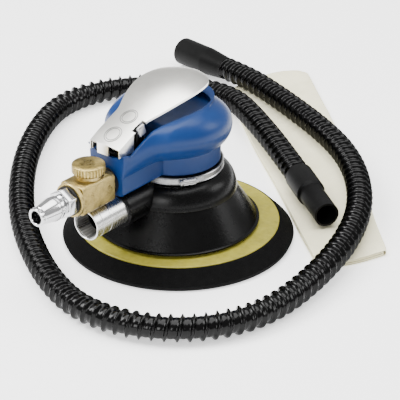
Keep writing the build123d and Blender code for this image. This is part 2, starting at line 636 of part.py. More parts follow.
NODES = {
    "pad_hook_face": pad_hook_face,
    "pad_foam": pad_foam,
    "pad_plate": pad_plate,
    "pad_stud": pad_stud,
    "spindle": spindle,
    "spindle_screw": spindle_screw,
    "spindle_bearing_inner": lambda: inner_ring(SPINDLE_BEARING, SPINDLE_BEARING_LOW, SPINDLE_TOP, ORBIT),
    "spindle_bearing_outer": lambda: outer_ring(SPINDLE_BEARING, SPINDLE_BEARING_LOW, SPINDLE_TOP, ORBIT),
    "spindle_bearing_balls": lambda: ball_circle(SPINDLE_BEARING, (26.0, 34.0), ORBIT, 12),
    "spindle_snap_ring": spindle_snap_ring,
    "eccentric_shaft": eccentric_shaft,
    "rotor_core": rotor_core,
    "rotor_vanes": rotor_vanes,
    "rotor_key": rotor_key,
    "lower_bearing_inner": lambda: inner_ring(LOWER_BEARING, MOTOR_LOW, LOWER_BEARING_HIGH),
    "lower_bearing_outer": lambda: outer_ring(LOWER_BEARING, MOTOR_LOW, LOWER_BEARING_HIGH),
    "lower_bearing_balls": lambda: ball_circle(LOWER_BEARING, (56.25,), 0.0, 12),
    "upper_bearing_inner": lambda: inner_ring(UPPER_BEARING, UPPER_BEARING_LOW, MOTOR_HIGH - 0.5),
    "upper_bearing_outer": lambda: outer_ring(UPPER_BEARING, UPPER_BEARING_LOW, MOTOR_HIGH),
    "upper_bearing_balls": lambda: ball_circle(UPPER_BEARING, (85.0,), 0.0, 11),
    "lower_end_plate": lower_end_plate,
    "upper_end_plate": upper_end_plate,
    "cylinder_liner": cylinder_liner,
    "locating_pin": locating_pin,
    "lock_ring": lock_ring,
    "motor_housing": motor_housing,
    "grip_cover": grip_cover,
    "lever": lever,
    "lever_pin": lever_pin,
    "pivot_block": pivot_block,
    "pivot_screws": pivot_screws,
    "valve_stem": valve_stem,
    "valve_seal": valve_seal,
    "valve_seat": valve_seat,
    "valve_guide": valve_guide,
    "valve_plug": valve_plug,
    "valve_spring": valve_spring,
    "inlet_body": inlet_body,
    "inlet_seal": inlet_seal,
    "regulator_knob": regulator_knob,
    "regulator_spool": regulator_spool,
    "regulator_seal": regulator_seal,
    "plug_seal": plug_seal,
    "air_plug": air_plug,
    "shroud": shroud,
    "skirt": skirt,
    "clamp_band": clamp_band,
    "clamp_screw": clamp_screw,
    "exhaust_tube": exhaust_tube,
    "dust_hose": dust_hose,
    "hose_cuff_large": hose_cuff_large,
    "hose_cuff_small": hose_cuff_small,
    "dust_bag": dust_bag,
}

os.makedirs("parts", exist_ok=True)
for name, make in NODES.items():
    export_step(make(), os.path.join("parts", name + ".step"))
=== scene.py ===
import json
import math

import bmesh
import bpy
import numpy as np
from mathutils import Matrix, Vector


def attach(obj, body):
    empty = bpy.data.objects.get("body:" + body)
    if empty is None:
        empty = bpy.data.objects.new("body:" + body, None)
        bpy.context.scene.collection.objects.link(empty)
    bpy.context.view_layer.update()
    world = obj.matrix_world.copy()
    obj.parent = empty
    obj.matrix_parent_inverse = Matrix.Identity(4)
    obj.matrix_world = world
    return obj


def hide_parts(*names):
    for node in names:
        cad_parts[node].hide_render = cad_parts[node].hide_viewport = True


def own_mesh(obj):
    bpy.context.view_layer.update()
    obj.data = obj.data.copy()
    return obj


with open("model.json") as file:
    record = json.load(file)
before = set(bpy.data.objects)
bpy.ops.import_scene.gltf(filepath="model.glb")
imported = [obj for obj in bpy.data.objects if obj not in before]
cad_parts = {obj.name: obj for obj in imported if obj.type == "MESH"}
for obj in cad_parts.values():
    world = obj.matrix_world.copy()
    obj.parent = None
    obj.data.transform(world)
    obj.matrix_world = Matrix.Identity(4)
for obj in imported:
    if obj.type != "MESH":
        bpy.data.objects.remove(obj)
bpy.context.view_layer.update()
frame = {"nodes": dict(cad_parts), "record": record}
nodes = frame["nodes"]

MM = 0.001

# -------- sizes, in millimetres

INLET_Z = 65.4
PORT_Z = 42.5
KNOB_X = -80.5
PIVOT_X = -46.5
PIVOT_Z = 96.5
KNOB_SIDES = 96

# The grip cover, level by level: height, middle and radius of its round head
COVER_LOW = 70.0
COVER_HIGH = 98.6
COVER_REAR = -64.2
TAIL_FLOOR = 82.2
TAIL_POINTS = 16
HEAD_POINTS = 24
COVER_LEVELS = [
    (70.0, 0.0, 29.3), (70.3, 0.0, 30.0), (72.0, -0.4, 31.6), (73.2, -0.8, 33.4), (76.4, -1.6, 35.8),
    (80.0, -2.8, 37.9), (84.0, -4.0, 39.0), (88.0, -5.0, 38.8), (91.5, -6.2, 37.2), (94.8, -8.0, 34.4),
    (97.2, -9.8, 31.0), (98.6, -10.6, 28.2)]

# Along the cover's tail: half its width at the roll and at the lip, and how the roll swells with height
TAIL_FOOT = 12.9
TAIL_WIDEST = [(-64.2, 14.7), (-57.0, 15.6), (-48.0, 18.2), (-40.0, 21.4), (-30.0, 26.0), (-22.0, 29.4),
               (40.0, 30.0)]
TAIL_LIPS = [(-64.2, 14.8), (-57.0, 15.1), (-48.0, 16.6), (-40.0, 18.6), (-30.0, 21.6), (-22.0, 23.6),
             (40.0, 23.6)]
WIDEST_SHARE = 0.7
ROLL_RISE = [(0.0, 0.0), (0.07, 0.0), (0.115, 0.22), (0.23, 0.42), (0.36, 0.68), (0.5, 0.88), (0.63, 0.98),
             (0.7, 1.0)]
TAIL_BLEND = 16.0
TAIL_SOFTNESS = 9.0

# The cover's top edge, and the lever's pocket in it: half its width, its floor, and its round front
COVER_TOPS = [(-64.2, 86.2), (-61.4, 85.8), (-58.8, 83.9), (-56.0, 85.9), (-48.0, 90.4), (-40.0, 94.3),
              (-30.0, 96.6), (-18.0, 98.0), (-8.0, 98.6), (40.0, 98.6)]
POCKET_REAR_HALF = 13.4
POCKET_REAR_CORNER = 13.2
POCKET_STRAIGHT_END = -26.7
REAR_WALL_HALF = 13.0
POCKET_HALVES = [(-64.2, 13.4), (-52.0, 13.6), (-38.5, 14.6), (-28.0, 18.0), (-20.0, 20.6), (-11.0, 22.3),
                 (-2.0, 22.4), (7.0, 20.9), (14.0, 17.8), (19.5, 13.2), (23.0, 8.6), (25.0, 3.8), (25.5, 0.0)]
POCKET_FLOORS = [(-32.0, 82.2), (-29.0, 92.0), (-27.5, 93.2)]
POCKET_ROUND_MIDDLE = -2.0
POCKET_ROUND_RADIUS = 27.5
POCKET_ROUND_START = math.radians(153.9)
POCKET_STEPS = [(3.2, 0.6), (1.0, 0.5), (0.0, -0.6), (-0.1, None)]

# The shroud: its cowl, from the neck over the rim and back inside, the opening for the dust port, and the
# bead on the skirt's edge, each as height and radius
COWL_OUTLINE = [
    (51.8, 29.7), (51.2, 31.6), (49.9, 34.0), (48.0, 36.0), (45.4, 37.6), (42.0, 38.8), (38.0, 39.6), (37.3, 39.4),
    (37.0, 38.6), (37.6, 36.6), (42.0, 35.6), (46.0, 33.2), (49.6, 30.2), (51.8, 29.7)]
COWL_OPENING = 12.0
COWL_OPENING_LENGTH = 36.0
COWL_OPENING_MIDDLE = -43.0
BEAD_OUTLINE = [(14.3, 52.4), (14.3, 53.5), (14.7, 54.0), (15.5, 54.0), (16.0, 53.2), (16.0, 52.2), (14.3, 52.4)]

CLAMP_TURN = 237.0
CLAMP_Z = 54.7
CLAMP_BOX_OUT = 31.4
CLAMP_BOX_SIZE = (2.2, 8.5, 4.4)
CLAMP_SCREW_OUT = 31.7
BAND_OUTLINE = [(52.4, 29.9), (52.4, 30.7), (52.8, 31.0), (53.3, 30.65), (56.1, 30.65), (56.6, 31.0), (57.0, 30.7),
                (57.0, 29.9), (52.4, 29.9)]
SCREW_OUTLINE = [
    (-7.2, 0.0), (-7.2, 0.9), (-6.6, 0.9), (-6.6, 0.35), (-6.4, 0.35), (-6.4, 1.9), (-6.1, 2.15), (-5.2, 2.15),
    (-4.9, 1.9), (-4.9, 1.3), (5.6, 1.3), (6.0, 0.9), (6.0, 0.0)]

# The dust port, from its mouth inwards, with its bright bore, whose streaks are painted reflections, and the dark
# sleeve behind it, which is painted shade for the port's depth
PORT_MOUTH = -84.3
PORT_LENGTH = 48.3
PORT_OUTLINE = [
    (0.25, 8.85), (0.0, 9.1), (0.0, 9.65), (0.35, 10.0), (5.2, 10.0), (5.4, 9.55), (6.0, 9.55), (6.2, 10.0),
    (12.6, 10.0), (12.75, 9.85), (12.95, 9.85), (13.1, 10.0), (PORT_LENGTH, 10.0), (PORT_LENGTH, 8.6),
    (24.0, 8.6), (23.6, 8.75), (1.0, 8.75), (0.25, 8.85)]
BORE_OUTLINE = [(1.2, 8.74), (1.2, 8.6), (11.5, 8.55), (11.5, 8.72), (1.2, 8.74)]
# Painted shade: a black sleeve set inside the port where its depth lies in shade
PAINTED_SHADE_SLEEVE_OUTLINE = [(11.3, 8.7), (11.3, 8.2), (11.7, 8.0), (23.8, 8.0), (23.8, 8.7), (11.3, 8.7)]

# The air plug's nose, from its mouth inwards, and its hexagon
PLUG_MOUTH = -127.0
PLUG_OUTLINE = [
    (0.3, 4.2), (0.0, 4.5), (0.0, 5.5), (0.4, 5.95), (1.7, 6.0), (2.1, 5.5), (2.9, 5.4), (3.3, 5.75), (13.2, 7.6),
    (14.4, 7.6), (14.8, 6.8), (16.0, 6.7), (16.3, 7.3), (17.6, 7.3), (17.9, 6.5), (20.9, 6.4), (20.9, 4.2),
    (0.3, 4.2)]
HEXAGON_MIDDLE = -103.0
HEXAGON_LENGTH = 6.4
HEXAGON_RADIUS = 9.6

# The brass inlet: its square body, and the turned pieces on it
INLET_REAR = -95.5
INLET_FRONT = -67.2
INLET_HALF = 9.5
FLANGE_OUTLINE = [(-2.9, 7.0), (-2.9, 10.5), (-2.4, 11.0), (-0.5, 11.0), (0.0, 10.5), (0.0, 7.0)]
NECK_OUTLINE = [(-0.5, 6.5), (-0.5, 8.6), (1.0, 8.6), (1.2, 8.2), (1.2, 6.5), (-0.5, 6.5)]
COLLAR_Z = 73.9
COLLAR_OUTLINE = [(-5.0, 5.0), (-5.0, 8.0), (3.0, 8.0), (3.3, 7.7), (3.3, 5.0)]
KNOB_Z = 78.2
KNOB_OUTLINE = [
    (0.0, 0.0), (0.0, 9.7), (0.5, 10.3), (4.7, 10.3), (5.2, 10.1), (5.6, 9.5), (5.9, 8.2), (6.0, 4.0), (6.0, 0.0)]

# The dust bag's edges, by share of its length, and its cloth laid flat, in metres
BAG_OUTER_X = [(0.0, 222.0), (0.015, 240.0), (0.04, 251.0), (0.075, 252.0), (0.3, 208.0), (0.64, 128.0), (0.98, 70.0),
               (1.0, 66.0)]
BAG_OUTER_Y = [(0.0, 108.5), (0.015, 103.0), (0.04, 94.0), (0.075, 85.0), (0.3, 32.0), (0.64, -58.0), (0.98, -117.0),
               (1.0, -120.0)]
BAG_INNER_X = [(0.0, 187.5), (1.0, 24.0)]
BAG_INNER_Y = [(0.0, 111.0), (1.0, -98.0)]
BAG_STEPS = 90
BAG_ACROSS = np.array([0.79, -0.61])
BAG_ALONG = np.array([0.61, 0.79])
BAG_LAYERS = (0.35, 1.35, 2.75, 3.75)
BAG_CLOTH = 0.45

HOSE_DIAMETER = 17.6
HOSE_GROOVE = 2.3
HOSE_PITCH = 7.3
HOSE_SIDES = 28
RINGS_PER_RIB = 12
HOSE_ROUTE = [
    (202.0, 123.0, 13.0), (197.5, 98.0, 14.2), (190.0, 73.0, 14.0), (178.0, 40.0, 13.9), (163.5, 5.0, 13.9),
    (145.0, -29.0, 13.9), (118.0, -60.0, 13.9), (84.0, -86.0, 13.9), (45.0, -104.0, 13.9),
    (4.0, -114.0, 12.8), (-38.0, -116.0, 9.3), (-72.0, -108.0, 9.1), (-99.0, -87.5, 9.1),
    (-115.5, -58.0, 9.1), (-118.5, -24.0, 9.1), (-107.0, 9.0, 9.1), (-88.0, 42.0, 9.1), (-64.0, 75.0, 9.1),
    (-34.0, 107.0, 9.1), (2.0, 138.0, 9.1), (40.0, 163.0, 9.1), (76.5, 179.0, 9.1), (107.5, 179.0, 9.1),
    (136.0, 166.5, 9.1), (156.5, 143.0, 9.4), (166.0, 114.0, 11.4), (163.0, 83.0, 13.8), (148.0, 55.0, 14.4),
    (130.0, 25.0, 14.4), (112.5, -2.0, 14.4), (95.5, -27.0, 14.4)]

# The lever's stations: place along it, half its width, and the height of its edge and of its middle
LEVER_STATIONS = [
    (-66.0, 12.0, 90.0, 90.7), (-61.0, 12.1, 92.6, 93.4), (-56.5, 12.2, 94.8, 95.7), (-52.6, 12.2, 96.3, 97.2),
    (-51.3, 12.2, 96.9, 97.8), (-46.5, 12.4, 98.8, 99.8), (-41.7, 12.5, 100.6, 101.7), (-38.5, 12.7, 101.7, 103.0),
    (-33.0, 15.3, 103.6, 105.4), (-28.0, 17.3, 105.4, 107.7), (-20.0, 19.8, 107.9, 110.8),
    (-11.0, 21.5, 109.7, 112.7), (-2.0, 21.6, 110.5, 113.7), (7.0, 20.0, 110.7, 113.7),
    (11.8, 17.6, 110.6, 113.2), (15.3, 14.8, 110.4, 112.6), (18.0, 11.5, 110.2, 111.9), (19.8, 8.0, 110.1, 111.2),
    (20.9, 4.2, 110.0, 110.5)]
LEVER_COLUMNS = [-1.0, -0.94, -0.85, -0.76, -0.5, -0.25, 0.0, 0.25, 0.5, 0.76, 0.85, 0.94, 1.0]
LEVER_THICKNESS = 1.3
RING_PLACES = (-58.0, -43.2)
RING_RADII = (5.6, 4.5)
RING_WIDTH = 0.4
RING_THICKNESS = 0.5
RING_START_Z = 125.0

# Where the lever's strip is notched and folded: (low, high) places along it, and the heights its folds reach
NOTCH = (-51.35, -41.65)
NOTCH_TAB = (-51.0, -42.0)
EAR_FOOT = 84.6
PIN_TAB_FOOT = 93.2
REAR_TAB = (-3.2, 6.2)
REAR_TAB_FOOT = 83.6
RIM_DEPTH = 1.5

# The saddle under the lever and its two posts, as boxes between two corners, with the rounding of their edges
PIVOT_PARTS = [("pivot_saddle", (-62.0, -10.2, 82.2), (-42.2, 10.2, 85.6), 0.5),
               ("pivot_post_near", (-50.1, -12.4, 82.2), (-42.9, -9.6, 99.6), 1.3),
               ("pivot_post_far", (-50.1, 9.6, 82.2), (-42.9, 11.6, 96.0), 1.3)]
PIN_FAR_END = 11.7
PIN_OUTLINE = [(0.0, 0.0), (0.0, 1.6), (0.35, 1.95), (23.9, 1.95), (23.9, 0.0)]
PIN_HEAD_PLACE = (PIVOT_X, -12.8, PIVOT_Z + 0.4)
PIN_HEAD_SIZE = (6.6, 2.6, 7.4)
PIN_HEAD_LEAN = -18.0

# Camera
CAMERA_PLACE = (-0.8848, -0.7629, 0.6444)
CAMERA_TURN = -50.0
CAMERA_TILT = 62.1
CAMERA_LENS = 184.9
CAMERA_SENSOR = 36.0

# The floor and the lights: name, place, what it points at, width and power
FLOOR_SIZE = 8.0
FLOOR_DROP = -0.0002
FLOOR_WHITE = (0.9, 0.9, 0.9, 1)
FLOOR_GLOW = 0.8
SKY_STRENGTH = 0.6
LIGHTS = [("key", (-0.9, 0.9, 1.5), (0, 0, 0.05), 0.9, 55), ("top", (0.1, 0.0, 1.8), (0, 0, 0.0), 1.8, 75),
          ("front", (-1.3, -0.35, 0.5), (-0.05, 0, 0.05), 0.5, 10),
          ("side", (0.9, -0.9, 0.8), (0, 0, 0.05), 0.6, 9)]


# -------- workshop helpers

def put_down():
    """Leave nothing selected, so the next operator acts on its own piece alone."""
    if bpy.context.object and bpy.context.object.mode != "OBJECT":
        bpy.ops.object.mode_set(mode="OBJECT")
    bpy.ops.object.select_all(action="DESELECT")


def take_up(piece):
    put_down()
    piece.select_set(True)
    bpy.context.view_layer.objects.active = piece


def named(name):
    """Name the piece just added."""
    piece = bpy.context.object
    piece.name = name
    piece.data.name = name
    return piece


def place_in_mesh(piece):
    take_up(piece)
    bpy.ops.object.transform_apply(location=True, rotation=True, scale=True)


def edit(piece, mode="VERT"):
    take_up(piece)
    bpy.ops.object.mode_set(mode="EDIT")
    bpy.ops.mesh.select_mode(type=mode)
    bpy.ops.mesh.select_all(action="DESELECT")


def pick(test, kind="verts"):
    """Select what passes the test on its middle, in the piece being edited."""
    mesh = bpy.context.edit_object.data
    bpy.ops.mesh.select_all(action="DESELECT")
    shape = bmesh.from_edit_mesh(mesh)
    for part in getattr(shape, kind):
        middle = part.co if kind == "verts" else sum((v.co for v in part.verts), Vector()) / len(part.verts)
        part.select_set(bool(test(middle, part)))
    bmesh.update_edit_mesh(mesh)


def close_up(piece, merge=0.00001):
    """Merge doubled points, face everything outwards and leave edit mode."""
    if piece.mode != "EDIT":
        edit(piece)
    bpy.ops.mesh.select_all(action="SELECT")
    bpy.ops.mesh.remove_doubles(threshold=merge)
    bpy.ops.mesh.normals_make_consistent(inside=False)
    bpy.ops.object.mode_set(mode="OBJECT")


def finish_with(piece, kind, **settings):
    """Add a modifier with these settings and apply it."""
    take_up(piece)
    modifier = piece.modifiers.new(kind.title(), kind)
    for name, value in settings.items():
        setattr(modifier, name, value)
    bpy.ops.object.modifier_apply(modifier=modifier.name)


def smooth(piece, angle=40.0):
    take_up(piece)
    bpy.ops.object.shade_smooth_by_angle(angle=math.radians(angle))


def turned(name, outline, place, axis, sides=96):
    """A turned piece: an outline of distance along the axis and radius, in millimetres, spun about the axis."""
    put_down()
    start = Vector(place) * MM
    axis = Vector(axis).normalized()
    across = axis.orthogonal().normalized()
    bpy.ops.mesh.primitive_plane_add(size=0.001, location=start)
    piece = named(name)
    place_in_mesh(piece)
    edit(piece)
    bpy.ops.mesh.select_all(action="SELECT")
    bpy.ops.mesh.merge(type="CENTER")
    spots = [start + axis * along * MM + across * radius * MM for along, radius in outline]
    bpy.ops.transform.translate(value=spots[0] - start)
    for before, after in zip(spots, spots[1:]):
        bpy.ops.mesh.extrude_region_move(TRANSFORM_OT_translate={"value": after - before})
    bpy.ops.mesh.select_all(action="SELECT")
    bpy.ops.mesh.spin(steps=sides, angle=math.tau, center=start, axis=axis)
    close_up(piece)
    return piece


def lofted(name, loops):
    """A tube through closed loops of points, left in edit mode. Gives the piece, its mesh, and its two end loops."""
    put_down()
    bpy.ops.mesh.primitive_circle_add(vertices=len(loops[0]), radius=0.03, fill_type="NOTHING")
    piece = named(name)
    edit(piece)
    shape = bmesh.from_edit_mesh(piece.data)
    first = row = list(shape.verts)
    for point, spot in zip(row, loops[0]):
        point.co = spot
    for loop in loops[1:]:
        upper = [shape.verts.new(spot) for spot in loop]
        for index in range(len(row)):
            after = (index + 1) % len(row)
            shape.faces.new((row[index], row[after], upper[after], upper[index]))
        row = upper
    return piece, shape, first, row


def fit(piece, body, replaced, finish):
    """Mount a finished piece on its body, in place of CAD nodes, with its finish."""
    piece.data.materials.clear()
    piece.data.materials.append(finish)
    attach(piece, body)
    if replaced:
        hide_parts(*replaced)


# -------- camera and lights

def make_camera():
    put_down()
    turn = (math.radians(CAMERA_TILT), 0.0, math.radians(CAMERA_TURN))
    bpy.ops.object.camera_add(location=CAMERA_PLACE, rotation=turn)
    camera = bpy.context.object
    camera.data.lens = CAMERA_LENS
    camera.data.sensor_width = CAMERA_SENSOR
    bpy.context.scene.camera = camera


def area_light(name, place, target, size, power):
    put_down()
    bpy.ops.object.light_add(type="AREA", location=place)
    light = bpy.context.object
    light.name = name
    light.data.size = size
    light.data.energy = power
    light.rotation_euler = (Vector(target) - Vector(place)).to_track_quat("-Z", "Y").to_euler()


make_camera()


# -------- finishes

def effect(name, inputs, outputs):
    """An empty shader node group with named number or vector inputs and named outputs."""
    group = bpy.data.node_groups.new(name, "ShaderNodeTree")
    kinds = {"value": "NodeSocketFloat", "vector": "NodeSocketVector"}
    for label, kind, default in inputs:
        socket = group.interface.new_socket(name=label, in_out="INPUT", socket_type=kinds[kind])
        if default is not None:
            socket.default_value = default
    for label, kind in outputs:
        group.interface.new_socket(name=label, in_out="OUTPUT", socket_type=kinds[kind])
    return group, group.nodes.new("NodeGroupInput"), group.nodes.new("NodeGroupOutput")


def node(tree, kind, **settings):
    made = tree.nodes.new(kind)
    for name, value in settings.items():
        setattr(made, name, value)
    return made


def math_node(tree, operation, first, second=None, third=None):
    made = node(tree, "ShaderNodeMath", operation=operation)
    for socket, value in zip(made.inputs, (first, second, third)):
        if value is None:
            continue
        if isinstance(value, (int, float)):
            socket.default_value = value
        else:
            tree.links.new(value, socket)
    return made.outputs[0]


def make_mottle():
    """Two sizes of soft patches mixed into one mask from 0 to 1."""
    group, given, result = effect(
        "Mottle", [("Vector", "vector", None), ("Size", "value", 60.0), ("Contrast", "value", 1.6)],
        [("Mask", "value")])
    broad = node(group, "ShaderNodeTexNoise")
    fine = node(group, "ShaderNodeTexNoise")
    for noise, detail in ((broad, 3.0), (fine, 6.0)):
        group.links.new(given.outputs["Vector"], noise.inputs["Vector"])
        noise.inputs["Detail"].default_value = detail
    group.links.new(given.outputs["Size"], broad.inputs["Scale"])
    group.links.new(math_node(group, "MULTIPLY", given.outputs["Size"], 7.0), fine.inputs["Scale"])
    both = math_node(group, "ADD", math_node(group, "MULTIPLY", broad.outputs["Fac"], 0.6),
                     math_node(group, "MULTIPLY", fine.outputs["Fac"], 0.4))
    centred = math_node(group, "SUBTRACT", both, 0.5)
    spread = math_node(group, "MULTIPLY_ADD", centred, given.outputs["Contrast"], 0.5)
    clamped = node(group, "ShaderNodeClamp")
    group.links.new(spread, clamped.inputs["Value"])
    group.links.new(clamped.outputs["Result"], result.inputs["Mask"])
    return group


def make_grain():
    """Fine relief of a moulded, cast or fibrous skin."""
    group, given, result = effect(
        "Grain", [("Vector", "vector", None), ("Size", "value", 900.0), ("Depth", "value", 0.0001),
                  ("Strength", "value", 0.4)],
        [("Normal", "vector")])
    noise = node(group, "ShaderNodeTexNoise")
    noise.inputs["Detail"].default_value = 4.0
    noise.inputs["Roughness"].default_value = 0.6
    bump = node(group, "ShaderNodeBump")
    group.links.new(given.outputs["Vector"], noise.inputs["Vector"])
    group.links.new(given.outputs["Size"], noise.inputs["Scale"])
    group.links.new(noise.outputs["Fac"], bump.inputs["Height"])
    group.links.new(given.outputs["Depth"], bump.inputs["Distance"])
    group.links.new(given.outputs["Strength"], bump.inputs["Strength"])
    group.links.new(bump.outputs["Normal"], result.inputs["Normal"])
    return group


def make_lathe_marks():
    """Fine rings left by the turning tool, spaced along one direction."""
    group, given, result = effect(
        "Lathe marks", [("Along", "value", 0.0), ("Spacing", "value", 0.0006), ("Depth", "value", 0.00004),
                        ("Strength", "value", 0.6)],
        [("Mask", "value"), ("Normal", "vector")])
    turns = math_node(group, "DIVIDE", given.outputs["Along"], given.outputs["Spacing"])
    wobble = node(group, "ShaderNodeTexNoise", noise_dimensions="1D")
    wobble.inputs["Scale"].default_value = 0.9
    wobble.inputs["Detail"].default_value = 3.0
    group.links.new(turns, wobble.inputs["W"])
    wave = math_node(group, "SINE", math_node(group, "MULTIPLY", turns, math.tau))
    height = math_node(group, "ADD", math_node(group, "MULTIPLY", wave, 0.25), wobble.outputs["Fac"])
    bump = node(group, "ShaderNodeBump")
    group.links.new(height, bump.inputs["Height"])
    group.links.new(given.outputs["Depth"], bump.inputs["Distance"])
    group.links.new(given.outputs["Strength"], bump.inputs["Strength"])
    group.links.new(wobble.outputs["Fac"], result.inputs["Mask"])
    group.links.new(bump.outputs["Normal"], result.inputs["Normal"])
    return group


def make_edge_wear():
    """A mask that is 1 along convex edges, broken up by small patches."""
    group, given, result = effect(
        "Edge wear", [("Vector", "vector", None), ("Amount", "value", 0.5)], [("Mask", "value")])
    geometry = node(group, "ShaderNodeNewGeometry")
    edges = node(group, "ShaderNodeMapRange")
    edges.inputs["From Min"].default_value = 0.52
    edges.inputs["From Max"].default_value = 0.62
    group.links.new(geometry.outputs["Pointiness"], edges.inputs["Value"])
    noise = node(group, "ShaderNodeTexNoise")
    noise.inputs["Scale"].default_value = 300.0
    noise.inputs["Detail"].default_value = 4.0
    group.links.new(given.outputs["Vector"], noise.inputs["Vector"])
    broken = math_node(group, "MULTIPLY", edges.outputs["Result"], noise.outputs["Fac"])
    group.links.new(math_node(group, "MULTIPLY", broken, given.outputs["Amount"]), result.inputs["Mask"])
    return group


def make_weave():
    """Plain weave of a cloth, from two crossed sets of threads."""
    group, given, result = effect(
        "Weave", [("Vector", "vector", None), ("Threads", "value", 1400.0), ("Depth", "value", 0.00012),
                  ("Strength", "value", 0.5)],
        [("Mask", "value"), ("Normal", "vector")])
    split = node(group, "ShaderNodeSeparateXYZ")
    group.links.new(given.outputs["Vector"], split.inputs["Vector"])
    threads = []
    for direction in ("X", "Y"):
        along = math_node(group, "MULTIPLY", split.outputs[direction], given.outputs["Threads"])
        threads.append(math_node(group, "SINE", math_node(group, "MULTIPLY", along, math.pi)))
    crossing = math_node(group, "MULTIPLY", threads[0], threads[1])
    height = math_node(group, "MULTIPLY_ADD", crossing, 0.5, 0.5)
    bump = node(group, "ShaderNodeBump")
    group.links.new(height, bump.inputs["Height"])
    group.links.new(given.outputs["Depth"], bump.inputs["Distance"])
    group.links.new(given.outputs["Strength"], bump.inputs["Strength"])
    group.links.new(height, result.inputs["Mask"])
    group.links.new(bump.outputs["Normal"], result.inputs["Normal"])
    return group


MOTTLE = make_mottle()
GRAIN = make_grain()
LATHE_MARKS = make_lathe_marks()
EDGE_WEAR = make_edge_wear()
WEAVE = make_weave()


def placed(tree, group, **values):
    made = node(tree, "ShaderNodeGroup", node_tree=group)
    for name, value in values.items():
        socket = made.inputs[name]
        if isinstance(value, (int, float)):
            socket.default_value = value
        else:
            tree.links.new(value, socket)
    return made


def mixed_color(tree, mask, first, second):
    mix = node(tree, "ShaderNodeMix", data_type="RGBA")
    tree.links.new(mask, mix.inputs["Factor"])
    for socket, value in ((mix.inputs["A"], first), (mix.inputs["B"], second)):
        if isinstance(value, tuple):
            socket.default_value = (*value, 1.0)
        else:
            tree.links.new(value, socket)
    return mix.outputs["Result"]


def ranged(tree, mask, low, high):
    return math_node(tree, "MULTIPLY_ADD", mask, high - low, low)


def finish(name, dark, light, rough, metallic=0.0, patch=60.0, contrast=1.6, worn=None, wear=0.5,
           grain=(900.0, 0.0001, 0.3), rings=None, threads=None, coat=0.0, specular=0.5, sheen=0.0, stretch=None):
    """A finish: patches between two colours, a range of roughness, worn edges, and relief."""
    material = bpy.data.materials.new(name)
    material.use_nodes = True
    tree = material.node_tree
    shader = tree.nodes["Principled BSDF"]
    shader.inputs["Metallic"].default_value = metallic
    shader.inputs["Specular IOR Level"].default_value = specular
    shader.inputs["Coat Weight"].default_value = coat
    shader.inputs["Coat Roughness"].default_value = 0.12
    shader.inputs["Sheen Weight"].default_value = sheen
    where = node(tree, "ShaderNodeTexCoord").outputs["Object"]
    if stretch:
        drawn_out = node(tree, "ShaderNodeMapping")
        drawn_out.inputs["Scale"].default_value = stretch
        tree.links.new(where, drawn_out.inputs["Vector"])
        where = drawn_out.outputs["Vector"]
    patches = placed(tree, MOTTLE, Vector=where, Size=patch, Contrast=contrast).outputs["Mask"]
    color = mixed_color(tree, patches, dark, light)
    if worn:
        edge = placed(tree, EDGE_WEAR, Vector=where, Amount=wear).outputs["Mask"]
        color = mixed_color(tree, edge, color, worn)
    if rings:
        along = node(tree, "ShaderNodeSeparateXYZ")
        tree.links.new(where, along.inputs["Vector"])
        marks = placed(tree, LATHE_MARKS, Along=along.outputs[rings[0]], Spacing=rings[1], Depth=rings[2],
                       Strength=rings[3])
        normal = marks.outputs["Normal"]
        roughness = ranged(tree, marks.outputs["Mask"], *rough)
    elif threads:
        cloth = placed(tree, WEAVE, Vector=where, Threads=threads[0], Depth=threads[1], Strength=threads[2])
        normal = cloth.outputs["Normal"]
        roughness = ranged(tree, cloth.outputs["Mask"], *rough)
    else:
        normal = placed(tree, GRAIN, Vector=where, Size=grain[0], Depth=grain[1],
                        Strength=grain[2]).outputs["Normal"]
        roughness = ranged(tree, patches, *rough)
    tree.links.new(color, shader.inputs["Base Color"])
    tree.links.new(roughness, shader.inputs["Roughness"])
    tree.links.new(normal, shader.inputs["Normal"])
    return material


